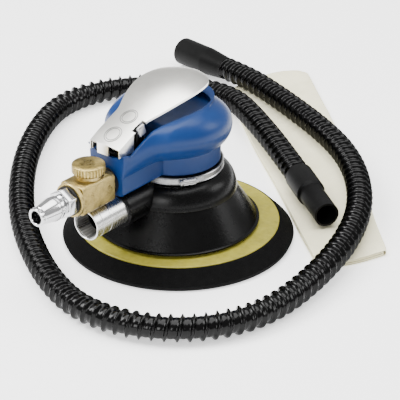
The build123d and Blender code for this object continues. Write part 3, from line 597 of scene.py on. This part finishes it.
FINISHES = {
    "blue_paint": finish("Blue housing paint", (0.0008, 0.0152, 0.078), (0.0015, 0.0225, 0.106), (0.30, 0.42),
                         patch=45.0, worn=(0.015, 0.06, 0.18), wear=0.35, grain=(1600.0, 0.00006, 0.25), coat=0.08,
                         specular=0.22),
    "blue_plastic": finish("Blue grip cover", (0.0009, 0.0175, 0.088), (0.0017, 0.0265, 0.118), (0.34, 0.46),
                           patch=40.0, worn=(0.015, 0.065, 0.19), wear=0.35, grain=(1900.0, 0.00006, 0.35), coat=0.06,
                           specular=0.22),
    "black_plastic": finish("Black moulded shroud", (0.0006, 0.0006, 0.0007), (0.0020, 0.0020, 0.0021), (0.20, 0.34),
                            patch=55.0, worn=(0.02, 0.02, 0.02), wear=0.4, grain=(1500.0, 0.0001, 0.45),
                            specular=0.05),
    "steel": finish("Dull steel", (0.32, 0.32, 0.33), (0.46, 0.46, 0.46), (0.26, 0.42), metallic=1.0,
                    patch=90.0, grain=(1400.0, 0.00005, 0.3)),
    "bright_steel": finish("Bright plated steel", (0.52, 0.52, 0.53), (0.70, 0.70, 0.70), (0.10, 0.22), metallic=1.0,
                           patch=80.0, rings=("X", 0.0007, 0.00001, 0.2)),
    "machined_aluminium": finish("Turned aluminium", (0.55, 0.55, 0.54), (0.74, 0.73, 0.71), (0.18, 0.36),
                                 metallic=1.0, patch=60.0, rings=("X", 0.0007, 0.00004, 0.6)),
    "lever_metal": finish("Satin pressed lever", (0.78, 0.77, 0.72), (0.93, 0.915, 0.86), (0.26, 0.38),
                          metallic=1.0, patch=30.0, contrast=1.2, grain=(2200.0, 0.00002, 0.25)),
    "brass": finish("Cast brass", (0.130, 0.092, 0.020), (0.43, 0.325, 0.105), (0.24, 0.46), metallic=1.0,
                    patch=170.0, contrast=3.2, worn=(0.80, 0.64, 0.32), wear=1.0, grain=(620.0, 0.0004, 0.9)),
    "black_rubber": finish("Black rubber", (0.0006, 0.0006, 0.0006), (0.002, 0.002, 0.002), (0.20, 0.36), patch=45.0,
                           grain=(700.0, 0.0002, 0.35), specular=0.13),
    "seal_rubber": finish("Sealing ring rubber", (0.002, 0.002, 0.002), (0.006, 0.006, 0.006), (0.4, 0.55),
                          patch=120.0, grain=(2000.0, 0.00005, 0.3), specular=0.25),
    "vane_composite": finish("Vane composite", (0.08, 0.045, 0.02), (0.12, 0.07, 0.035), (0.5, 0.65), patch=150.0),
    "yellow_plate": finish("Yellow backing plate", (0.165, 0.142, 0.004), (0.31, 0.270, 0.014), (0.42, 0.62),
                           patch=75.0, contrast=2.6, worn=(0.45, 0.42, 0.14), wear=0.5, grain=(500.0, 0.0002, 0.5),
                           specular=0.3),
    "pad_foam": finish("Black pad foam", (0.0010, 0.0010, 0.0010), (0.0045, 0.0045, 0.0045), (0.7, 0.95), patch=220.0,
                       contrast=2.4, grain=(1300.0, 0.0005, 0.8), specular=0.05),
    "hook_face": finish("Hook face", (0.006, 0.006, 0.006), (0.02, 0.02, 0.02), (0.8, 0.95), patch=500.0,
                        grain=(2500.0, 0.0004, 0.9), specular=0.15),
    "bag_cloth": finish("Cream bag cloth", (0.68, 0.635, 0.42), (0.88, 0.84, 0.61), (0.82, 0.95), patch=18.0,
                        contrast=1.8, threads=(1500.0, 0.00012, 0.45), specular=0.2, sheen=0.1),
    "hose_plastic": finish("Black ribbed hose", (0.0004, 0.0004, 0.0004), (0.0014, 0.0014, 0.0014), (0.12, 0.22),
                           patch=60.0, grain=(1400.0, 0.00006, 0.3), specular=0.16),
    "cuff_rubber": finish("Black cuff", (0.0008, 0.0008, 0.0008), (0.0025, 0.0025, 0.0025), (0.40, 0.55), patch=70.0,
                          worn=(0.02, 0.02, 0.02), wear=0.4, grain=(1600.0, 0.0001, 0.4), specular=0.08),
}
RING_MARK = finish("Darkened ring marks", (0.16, 0.16, 0.155), (0.30, 0.30, 0.29), (0.40, 0.55), metallic=1.0,
                   patch=200.0, grain=(1800.0, 0.00003, 0.3))
CLAMP_STEEL = finish("Rolled clamp steel", (0.34, 0.34, 0.345), (0.50, 0.50, 0.50), (0.22, 0.36), metallic=1.0,
                     patch=60.0, contrast=1.6, grain=(1500.0, 0.00001, 0.2))
# Painted reflections: the bore's lining is lighter than the tube and streaked along its length, standing in for the
# light the bore catches
BORE_PAINTED_REFLECTIONS = finish("Bore with painted reflection streaks", (0.26, 0.255, 0.24), (0.92, 0.91, 0.89), (0.26, 0.50), metallic=0.9,
                    patch=190.0, contrast=4.5, grain=(500.0, 0.00004, 0.3), stretch=(0.06, 1.0, 1.0))


def dress_carried_nodes():
    """Give every CAD node the finish of its material slot."""
    for entry in frame["record"]["subparts"]:
        carried = nodes[entry["node"]]
        carried.data.materials.clear()
        carried.data.materials.append(FINISHES[entry["material_slot"]])


dress_carried_nodes()


# -------- throttle lever

def lever_spots(station):
    """The cross-section of the lever's top at one station, from side to side, in metres."""
    along, half, edge, middle = station
    return [Vector((along, half * share, middle - (middle - edge) * share ** 2)) * MM for share in LEVER_COLUMNS]


def make_lever():
    """The pressed lever: a strip drawn out from its pivot end to its round tip, with its ears folded down."""
    put_down()
    first = LEVER_STATIONS[0]
    bpy.ops.mesh.primitive_circle_add(vertices=len(LEVER_COLUMNS), radius=first[1] * MM, fill_type="NOTHING",
                                      location=(first[0] * MM, 0, first[3] * MM))
    lever = named("throttle_lever")
    place_in_mesh(lever)
    edit(lever, "EDGE")
    shape = bmesh.from_edit_mesh(lever.data)
    shape.edges.ensure_lookup_table()
    shape.verts.ensure_lookup_table()
    rim = sorted(shape.verts, key=lambda point: point.index)
    closing = [line for line in shape.edges if set(line.verts) == {rim[0], rim[-1]}]
    bmesh.ops.delete(shape, geom=closing, context="EDGES")
    for point, spot in zip(rim, lever_spots(first)):
        point.co = spot
    bmesh.update_edit_mesh(lever.data)
    bpy.ops.mesh.select_all(action="SELECT")
    for station in LEVER_STATIONS[1:]:
        bpy.ops.mesh.extrude_region_move(TRANSFORM_OT_translate={"value": (0.001, 0, 0)})
        shape = bmesh.from_edit_mesh(lever.data)
        row = sorted((point for point in shape.verts if point.select), key=lambda point: point.co.y)
        for point, spot in zip(row, lever_spots(station)):
            point.co = spot
        bmesh.update_edit_mesh(lever.data)
    fold_lever_edges()
    close_up(lever)
    finish_with(lever, "SOLIDIFY", thickness=LEVER_THICKNESS * MM, offset=-1.0, use_even_offset=True)
    finish_with(lever, "BEVEL", width=0.35 * MM, segments=2, limit_method="ANGLE", angle_limit=math.radians(50))
    finish_with(lever, "SUBSURF", levels=1, render_levels=1)
    smooth(lever, 50.0)
    return lever


def fold_lever_edges():
    """Cut the near side's notch for the pin, then fold down the ears, the near pin tab, the rear tab and the rim."""
    bpy.ops.mesh.select_mode(type="FACE")
    pick(lambda at, part: NOTCH[0] * MM < at.x < NOTCH[1] * MM and at.y < -9.6 * MM, "faces")
    bpy.ops.mesh.delete(type="FACE")
    bpy.ops.mesh.select_mode(type="EDGE")
    fold(lambda at, part: part.is_boundary and at.x < -52.0 * MM and abs(at.y) > 11.5 * MM, EAR_FOOT)
    fold(lambda at, part: part.is_boundary and NOTCH_TAB[0] * MM < at.x < NOTCH_TAB[1] * MM and
         -10.5 * MM < at.y < -9.0 * MM, PIN_TAB_FOOT)
    fold(lambda at, part: part.is_boundary and at.x < -65.9 * MM and REAR_TAB[0] * MM < at.y < REAR_TAB[1] * MM and
         at.z > 88.0 * MM, REAR_TAB_FOOT)
    pick(lambda at, part: part.is_boundary and at.x > -41.8 * MM and abs(at.y) > 0.1 * MM and at.z > 100.4 * MM,
         "edges")
    bpy.ops.mesh.extrude_region_move(TRANSFORM_OT_translate={"value": (0, 0, -RIM_DEPTH * MM)})


def fold(test, down_to):
    """Draw the picked edges straight down to a height."""
    pick(test, "edges")
    bpy.ops.mesh.extrude_region_move(TRANSFORM_OT_translate={"value": (0, 0, -2.0 * MM)})
    floor = (0, 0, down_to * MM)
    bpy.ops.transform.resize(value=(1, 1, 0), center_override=floor)


def make_pivot_block():
    """The moulded saddle under the lever, with a tall near post and a low far one."""
    parts = []
    for name, low, high, rounding in PIVOT_PARTS:
        put_down()
        low, high = Vector(low), Vector(high)
        bpy.ops.mesh.primitive_cube_add(size=1, location=(low + high) / 2 * MM, scale=(high - low) * MM)
        part = named(name)
        place_in_mesh(part)
        finish_with(part, "BEVEL", width=rounding * MM, segments=4)
        smooth(part, 40.0)
        parts.append(part)
    return parts


def make_lever_pin():
    """The steel pin, and its rounded block of a head on the near side."""
    pin = turned("lever_pin_turned", PIN_OUTLINE, (PIVOT_X, PIN_FAR_END, PIVOT_Z), (0, -1, 0), sides=48)
    smooth(pin, 35.0)
    put_down()
    bpy.ops.mesh.primitive_cube_add(size=1, location=Vector(PIN_HEAD_PLACE) * MM,
                                    rotation=(0, math.radians(PIN_HEAD_LEAN), 0), scale=Vector(PIN_HEAD_SIZE) * MM)
    head = named("lever_pin_head")
    place_in_mesh(head)
    finish_with(head, "BEVEL", width=1.9 * MM, segments=5, limit_method="ANGLE", angle_limit=math.radians(40))
    smooth(head, 40.0)
    return [pin, head]


def make_badge_rings(lever):
    """Two plain double rings, raised a little from the lever."""
    made = []
    for number, middle in enumerate(RING_PLACES):
        centre = (middle * MM, 0, RING_START_Z * MM)
        for radius in RING_RADII:
            put_down()
            bpy.ops.mesh.primitive_circle_add(vertices=64, radius=radius * MM, fill_type="NOTHING",
                                              location=centre)
            ring = named(f"lever_ring_{number}_{radius:.0f}")
            place_in_mesh(ring)
            edit(ring)
            bpy.ops.mesh.select_all(action="SELECT")
            bpy.ops.mesh.extrude_region_move()
            narrow = (radius - RING_WIDTH) / radius
            bpy.ops.transform.resize(value=(narrow, narrow, 1), center_override=centre)
            close_up(ring, merge=0.0000001)
            finish_with(ring, "SHRINKWRAP", target=lever, wrap_method="PROJECT", use_project_z=True,
                        use_negative_direction=True, use_positive_direction=False, offset=0.0)
            finish_with(ring, "SOLIDIFY", thickness=RING_THICKNESS * MM, offset=0.0)
            smooth(ring, 45.0)
            made.append(ring)
    return made


# -------- brass inlet

def make_knob():
    """The regulator's knob: a domed brass button with slots cut round its rim."""
    knob = turned("regulator_knob_slotted", KNOB_OUTLINE, (KNOB_X, 0, KNOB_Z), (0, 0, 1), sides=KNOB_SIDES)
    edit(knob, "FACE")

    def in_slot(at, face):
        turn = math.atan2(at.y, at.x - KNOB_X * MM)
        return abs(face.normal.z) < 0.2 and round(turn / math.tau * KNOB_SIDES - 0.5) % 3 == 0

    pick(in_slot, "faces")
    bpy.ops.mesh.inset(thickness=0.1 * MM, depth=-0.45 * MM, use_individual=True)
    bpy.ops.object.mode_set(mode="OBJECT")
    smooth(knob, 25.0)
    return knob


def make_inlet_body():
    """The cast brass inlet: a chamfered square body between a round flange and a round neck."""
    put_down()
    middle = (INLET_REAR + INLET_FRONT) / 2
    bpy.ops.mesh.primitive_cube_add(size=1, location=(middle * MM, 0, INLET_Z * MM),
                                    scale=Vector((INLET_FRONT - INLET_REAR, 2 * INLET_HALF, 2 * INLET_HALF)) * MM)
    body = named("inlet_body_cast")
    place_in_mesh(body)
    edit(body, "EDGE")
    pick(lambda at, line: abs(at.y) > 9.0 * MM and abs(at.z - INLET_Z * MM) > 9.0 * MM, "edges")
    bpy.ops.mesh.bevel(offset=2.6 * MM, segments=3, profile=0.5)
    bpy.ops.object.mode_set(mode="OBJECT")
    finish_with(body, "BEVEL", width=0.6 * MM, segments=3, limit_method="ANGLE", angle_limit=math.radians(40))
    flange = turned("inlet_flange", FLANGE_OUTLINE, (INLET_REAR, 0, INLET_Z), (1, 0, 0))
    neck = turned("inlet_neck", NECK_OUTLINE, (INLET_FRONT, 0, INLET_Z), (1, 0, 0))
    collar = turned("regulator_collar", COLLAR_OUTLINE, (KNOB_X, 0, COLLAR_Z), (0, 0, 1))
    for part in (body, flange, neck, collar):
        smooth(part, 35.0)
    return [body, flange, neck, collar]


def make_air_plug():
    """The quick coupling's plug: a tapered nose with a ring at its mouth, and the hexagon behind it."""
    nose = turned("air_plug_nose", PLUG_OUTLINE, (PLUG_MOUTH, 0, INLET_Z), (1, 0, 0))
    smooth(nose, 30.0)
    middle = (HEXAGON_MIDDLE * MM, 0, INLET_Z * MM)
    put_down()
    bpy.ops.mesh.primitive_cylinder_add(vertices=6, radius=HEXAGON_RADIUS * MM, depth=HEXAGON_LENGTH * MM,
                                        rotation=(0, math.radians(90), 0), location=middle)
    hexagon = named("air_plug_hexagon")
    place_in_mesh(hexagon)
    edit(hexagon)
    bpy.ops.mesh.select_all(action="SELECT")
    bpy.ops.transform.rotate(value=math.radians(30), orient_axis="X", center_override=middle)
    bpy.ops.object.mode_set(mode="OBJECT")
    finish_with(hexagon, "BEVEL", width=0.6 * MM, segments=3, limit_method="ANGLE", angle_limit=math.radians(30))
    smooth(hexagon, 35.0)
    return [nose, hexagon]


# -------- exhaust tube

def make_exhaust_tube():
    """The turned dust port, with a rounded lip and a groove near its mouth, its bright bore lined with painted
    reflection streaks, and a black sleeve deeper in that is painted shade for its dark depth.
    """
    place = (PORT_MOUTH, 0, PORT_Z)
    tube = turned("dust_port_tube", PORT_OUTLINE, place, (1, 0, 0), sides=128)
    smooth(tube, 30.0)
    bore = turned("dust_port_bore", BORE_OUTLINE, place, (1, 0, 0), sides=96)
    # Painted shade: the black sleeve deep in the port stands in for the shade there
    shade_sleeve = turned("dust_port_painted_shade_sleeve", PAINTED_SHADE_SLEEVE_OUTLINE, place, (1, 0, 0), sides=96)
    for part in (bore, shade_sleeve):
        smooth(part, 30.0)
    return [tube, bore, shade_sleeve]


# -------- grip cover

def between(table, at):
    """Straight-line reading from a table of (place, value) pairs."""
    places, values = zip(*table)
    return float(np.interp(at, places, values))


def blend_widths(first, second, softness):
    """The larger of two widths, with a fillet where they meet."""
    return 0.5 * (first + second + math.sqrt((first - second) ** 2 + softness ** 2))


def cover_outline(height, middle, radius):
    """Half of one level of the cover's outside, from the rear middle to the front tip."""
    share = (height - COVER_LOW) / (COVER_HIGH - COVER_LOW)

    def tail(at):
        widest, lip = between(TAIL_WIDEST, at), between(TAIL_LIPS, at)
        if share < WIDEST_SHARE:
            return TAIL_FOOT + (widest - TAIL_FOOT) * between(ROLL_RISE, share)
        over = (share - WIDEST_SHARE) / (1.0 - WIDEST_SHARE)
        return widest + (lip - widest) * over * over

    join = math.pi - math.asin(min(0.98, tail(middle - 0.9 * radius) / radius))
    join_at = middle + radius * math.cos(join)
    spots = [(COVER_REAR, 0.0), (COVER_REAR, 0.5 * tail(COVER_REAR)), (COVER_REAR, 0.94 * tail(COVER_REAR))]
    spots += [(at, tail(at)) for at in np.linspace(COVER_REAR + 0.8, join_at, TAIL_POINTS)]
    spots += [(middle + radius * math.cos(turn), radius * math.sin(turn))
              for turn in np.linspace(join, 0.0, HEAD_POINTS + 1)[1:]]
    softened = []
    for at, half in spots:
        if COVER_REAR + 2 < at < 0.0:
            round_half = math.sqrt(max(0.0, radius ** 2 - (at - middle) ** 2))
            near = max(0.0, 1.0 - abs(at - join_at) / TAIL_BLEND)
            if at < join_at + TAIL_BLEND:
                half = blend_widths(tail(at), round_half, TAIL_SOFTNESS * near)
        softened.append((at, half))
    return [(at, half, cover_height(at, half, share)) for at, half in softened]


def cover_height(at, half, share):
    """Height of a point on one level of the cover's outside; the rear wall dips to the tail's floor."""
    top = between(COVER_TOPS, at)
    if at < COVER_REAR + 0.1 and half < REAR_WALL_HALF:
        top = TAIL_FLOOR
    return COVER_LOW + share * (top - COVER_LOW)


def pocket_outline(grown, height):
    """Half of the pocket's edge, grown, at one height over the cover's top, or on the pocket's floor."""
    spots = [(COVER_REAR, 0.0), (COVER_REAR, 0.5 * POCKET_REAR_HALF), (COVER_REAR, POCKET_REAR_CORNER + grown)]
    spots += [(at, between(POCKET_HALVES, at) + grown)
              for at in np.linspace(COVER_REAR + 0.8, POCKET_STRAIGHT_END, TAIL_POINTS)]
    for turn in np.linspace(POCKET_ROUND_START, 0.0, HEAD_POINTS + 1)[1:]:
        at = POCKET_ROUND_MIDDLE + POCKET_ROUND_RADIUS * math.cos(turn)
        spots.append((at + grown * max(0.0, math.cos(turn)), between(POCKET_HALVES, at) + grown * math.sin(turn)))
    outline = []
    for at, half in spots:
        if height is None:
            level = between(POCKET_FLOORS, at)
        else:
            level = between(COVER_TOPS, at) + height
            if at < COVER_REAR + 0.1 and half < REAR_WALL_HALF:
                level = TAIL_FLOOR
        outline.append((at, half, level))
    return outline


def whole_loop(half):
    """A closed loop from its half, mirrored to the other side."""
    other = [(at, -wide, level) for at, wide, level in reversed(half[1:-1])]
    return [Vector(spot) * MM for spot in half + other]


def make_grip_cover():
    """The moulded cover: level by level up its outside, over the lip, and down into the lever's pocket."""
    levels = [whole_loop(cover_outline(*level)) for level in COVER_LEVELS]
    levels += [whole_loop(pocket_outline(grown, height)) for grown, height in POCKET_STEPS]
    cover, shape, base, row = lofted("grip_cover_moulded", levels)
    shape.faces.new(base)
    count = len(row)
    for left in range(count // 2):
        corners = [row[left], row[left + 1], row[(count - left - 1) % count], row[(count - left) % count]]
        shape.faces.new(list(dict.fromkeys(corners)))
    bmesh.update_edit_mesh(cover.data)
    close_up(cover)
    finish_with(cover, "SUBSURF", levels=2, render_levels=2)
    smooth(cover, 60.0)
    return cover


# -------- shroud

def make_shroud_cowl():
    """The shroud's domed upper cowl, whose rim stands over the skirt, and the bead along the skirt's edge."""
    cowl = turned("shroud_cowl", COWL_OUTLINE, (0, 0, 0), (0, 0, 1), sides=160)
    put_down()
    bpy.ops.mesh.primitive_cylinder_add(vertices=64, radius=COWL_OPENING * MM, depth=COWL_OPENING_LENGTH * MM,
                                        rotation=(0, math.radians(90), 0),
                                        location=(COWL_OPENING_MIDDLE * MM, 0, PORT_Z * MM))
    cutter = named("port_cutter")
    finish_with(cowl, "BOOLEAN", operation="DIFFERENCE", solver="EXACT", object=cutter)
    bpy.data.objects.remove(cutter)
    bead = turned("skirt_bead", BEAD_OUTLINE, (0, 0, 0), (0, 0, 1), sides=192)
    for part in (cowl, bead):
        smooth(part, 35.0)
    return [cowl, bead]


# -------- clamp band

def make_clamp():
    """The band round the shroud's neck, with beaded edges, and its small screw housing."""
    band = turned("clamp_band_strip", BAND_OUTLINE, (0, 0, 0), (0, 0, 1), sides=128)
    smooth(band, 30.0)
    turn = math.radians(CLAMP_TURN)
    out = Vector((math.cos(turn), math.sin(turn), 0.0))
    put_down()
    bpy.ops.mesh.primitive_cube_add(size=1, location=out * CLAMP_BOX_OUT * MM + Vector((0, 0, CLAMP_Z * MM)),
                                    rotation=(0, 0, turn), scale=Vector(CLAMP_BOX_SIZE) * MM)
    box = named("clamp_screw_box")
    place_in_mesh(box)
    finish_with(box, "BEVEL", width=0.7 * MM, segments=3)
    smooth(box, 40.0)
    screw = turned("clamp_screw_turned", SCREW_OUTLINE,
                   (CLAMP_SCREW_OUT * out.x, CLAMP_SCREW_OUT * out.y, CLAMP_Z), (-out.y, out.x, 0), sides=32)
    smooth(screw, 30.0)
    return [band, box, screw]


# -------- dust bag

def bag_fold():
    """The cross-section of a flat tube of cloth folded once: share across, and height in millimetres."""
    path = []

    def run(start, end, height, steps=14):
        path.extend((start + (end - start) * step / steps, height) for step in range(steps + 1))

    def turn_over(at, low, high, outward, steps=5):
        middle, radius = (low + high) / 2, (high - low) / 2
        for step in range(1, steps):
            angle = -math.pi / 2 + math.pi * step / steps
            path.append((at + outward * abs(radius) * math.cos(angle) / 65.0, middle + radius * math.sin(angle)))

    bottom, low, high, top = BAG_LAYERS
    run(0.0, 0.975, bottom)
    turn_over(0.975, bottom, top, 1)
    run(0.975, 0.0, top)
    turn_over(0.0, top, high, -1)
    run(0.0, 0.94, high)
    turn_over(0.94, high, low, 1)
    run(0.94, 0.0, low)
    turn_over(0.0, low, bottom, -1)
    return path


def ripple(first, second, scale):
    """A smooth small wander between -1 and 1."""
    return 0.6 * math.sin(first * scale + 1.7 * math.sin(second * scale * 0.6 + 0.5)) + 0.4 * math.sin(
        second * scale * 1.4 + first * scale * 0.5 + 2.0)


def make_bag():
    """The dust bag: a flat cloth tube folded once along its length, lying on the floor."""
    section = bag_fold()
    rows = []
    for step in range(BAG_STEPS + 1):
        share = step / BAG_STEPS
        inner = np.array([between(BAG_INNER_X, share), between(BAG_INNER_Y, share)])
        outer = np.array([between(BAG_OUTER_X, share), between(BAG_OUTER_Y, share)])
        end_push = -3.0 * max(0.0, 1.0 - (1.0 - share) / 0.05)
        row = []
        for across, height in section:
            spot = inner + (outer - inner) * across
            spot = spot + BAG_ALONG * end_push * math.sin(math.pi * min(1.0, max(0.0, across)))
            spot = spot + BAG_ACROSS * ripple(share * 9.0, across * 2.0, 1.3) * 0.7
            sag = 0.35 * ripple(share * 14.0, across * 5.0, 1.0) * height / BAG_LAYERS[-1]
            row.append((spot[0] * MM, spot[1] * MM, max(0.3, height + sag) * MM))
        rows.append(row)
    bag, shape, _, _ = lofted("dust_bag_folded", rows)
    bmesh.update_edit_mesh(bag.data)
    close_up(bag, merge=0.0000001)
    finish_with(bag, "SOLIDIFY", thickness=BAG_CLOTH * MM, offset=0.0)
    smooth(bag, 60.0)
    return bag


# -------- hose

def hose_line():
    """The hose's centreline: an open spline whose control points are the route."""
    curve = bpy.data.curves.new("hose_line", "CURVE")
    curve.dimensions = "3D"
    curve.resolution_u = 24
    spline = curve.splines.new("NURBS")
    spline.points.add(len(HOSE_ROUTE) - 1)
    for point, place in zip(spline.points, HOSE_ROUTE):
        point.co = (place[0] * MM, place[1] * MM, place[2] * MM, 1.0)
    spline.order_u = 3
    spline.use_endpoint_u = True
    line = bpy.data.objects.new("hose_line", curve)
    bpy.context.scene.collection.objects.link(line)
    bpy.context.view_layer.update()
    mesh = bpy.data.meshes.new_from_object(line)
    points = [vertex.co.copy() for vertex in mesh.vertices]
    bpy.data.objects.remove(line)
    return points


def spaced(points, step):
    """Points evenly spaced along a line, about step apart, and the line's length."""
    places = np.array([tuple(point) for point in points])
    along = np.concatenate([[0.0], np.cumsum(np.linalg.norm(np.diff(places, axis=0), axis=1))])
    count = max(2, round(along[-1] / step))
    wanted = np.linspace(0.0, along[-1], count + 1)
    return np.stack([np.interp(wanted, along, places[:, axis]) for axis in range(3)], axis=1), along[-1]


def rib_height(turn):
    """Height of the hose's wall above the groove, from 0 to 1: a narrow raised rib and a faint swell between."""
    crest = max(0.0, math.cos(turn)) ** 3.2
    swell = 0.10 * max(0.0, -math.cos(turn)) ** 1.2
    return max(crest, swell)


def make_hose():
    """The ribbed hose along its line, as a wall whose ribs wind round it, with its path and length."""
    points = hose_line()
    line, length = spaced(points, HOSE_PITCH * MM / RINGS_PER_RIB)
    step = length / (len(line) - 1)
    ahead = np.gradient(line, axis=0)
    ahead /= np.linalg.norm(ahead, axis=1)[:, None]
    side = np.cross(ahead, (0.0, 0.0, 1.0))
    side /= np.linalg.norm(side, axis=1)[:, None]
    lift = np.cross(side, ahead)
    outside = HOSE_DIAMETER / 2 * MM
    vertices = []
    for index, centre in enumerate(line):
        turn = math.tau * index * step / (HOSE_PITCH * MM)
        for corner in range(HOSE_SIDES):
            angle = math.tau * corner / HOSE_SIDES
            radius = outside - HOSE_GROOVE * MM * (1.0 - rib_height(turn - angle))
            vertices.append(centre + radius * (math.cos(angle) * side[index] + math.sin(angle) * lift[index]))
    faces = []
    for index in range(len(line) - 1):
        low = index * HOSE_SIDES
        high = low + HOSE_SIDES
        for corner in range(HOSE_SIDES):
            after = (corner + 1) % HOSE_SIDES
            faces.append((low + corner, low + after, high + after, high + corner))
    last = (len(line) - 1) * HOSE_SIDES
    faces.append(tuple(reversed(range(HOSE_SIDES))))
    faces.append(tuple(range(last, last + HOSE_SIDES)))
    mesh = bpy.data.meshes.new("dust_hose_ribbed")
    mesh.from_pydata([tuple(vertex) for vertex in vertices], [], faces)
    hose = bpy.data.objects.new("dust_hose_ribbed", mesh)
    bpy.context.scene.collection.objects.link(hose)
    close_up(hose)
    mesh.shade_smooth()
    path = [tuple(point) for point in line[::RINGS_PER_RIB // 2]]
    return hose, path, length


# -------- floor and light

def make_stage():
    put_down()
    bpy.ops.mesh.primitive_plane_add(size=FLOOR_SIZE, location=(0, 0, FLOOR_DROP))
    floor = named("floor")
    material = bpy.data.materials.new("Pale floor")
    material.use_nodes = True
    shader = material.node_tree.nodes["Principled BSDF"]
    shader.inputs["Base Color"].default_value = FLOOR_WHITE
    shader.inputs["Roughness"].default_value = 0.6
    shader.inputs["Specular IOR Level"].default_value = 0.1
    shader.inputs["Emission Color"].default_value = (1, 1, 1, 1)
    shader.inputs["Emission Strength"].default_value = FLOOR_GLOW
    floor.data.materials.append(material)
    world = bpy.data.worlds.new("studio")
    bpy.context.scene.world = world
    world.use_nodes = True
    background = world.node_tree.nodes["Background"]
    background.inputs["Color"].default_value = (1, 1, 1, 1)
    background.inputs["Strength"].default_value = SKY_STRENGTH
    for light in LIGHTS:
        area_light(*light)


make_stage()

hose, hose_path, hose_length = make_hose()
fit(hose, "dust_hose", ["dust_hose"], FINISHES["hose_plastic"])

lever = make_lever()
rings = make_badge_rings(lever)
fit(lever, "lever", ["lever"], FINISHES["lever_metal"])
for ring in rings:
    fit(ring, "lever", [], RING_MARK)
for number, part in enumerate(make_pivot_block()):
    fit(part, "housing", ["pivot_block"] if number == 0 else [], FINISHES["black_plastic"])
for part, replaced in zip(make_lever_pin(), (["lever_pin"], [])):
    fit(part, "housing", replaced, FINISHES["steel"])
fit(make_knob(), "regulator", ["regulator_knob"], FINISHES["brass"])
for number, part in enumerate(make_inlet_body()):
    fit(part, "housing", ["inlet_body"] if number == 0 else [], FINISHES["brass"])
fit(make_grip_cover(), "housing", ["grip_cover"], FINISHES["blue_plastic"])
for part in make_shroud_cowl():
    fit(part, "housing", [], FINISHES["black_rubber"])
for part, replaced in zip(make_clamp(), (["clamp_band"], [], ["clamp_screw"])):
    fit(part, "housing", replaced, CLAMP_STEEL)
bag = make_bag()
fit(bag, "dust_bag", ["dust_bag"], FINISHES["bag_cloth"])
# The port's bore lining carries painted reflection streaks, and its black sleeve is painted shade
for part, replaced, slot, skin in zip(make_exhaust_tube(), (["exhaust_tube"], [], []),
                                      ("machined_aluminium", "machined_aluminium", "black_plastic"),
                                      (FINISHES["machined_aluminium"], BORE_PAINTED_REFLECTIONS, FINISHES["black_plastic"])):
    fit(part, "housing", replaced, skin)
for part, replaced in zip(make_air_plug(), (["air_plug"], [])):
    fit(part, "housing", replaced, FINISHES["bright_steel"])

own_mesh(nodes["valve_spring"])
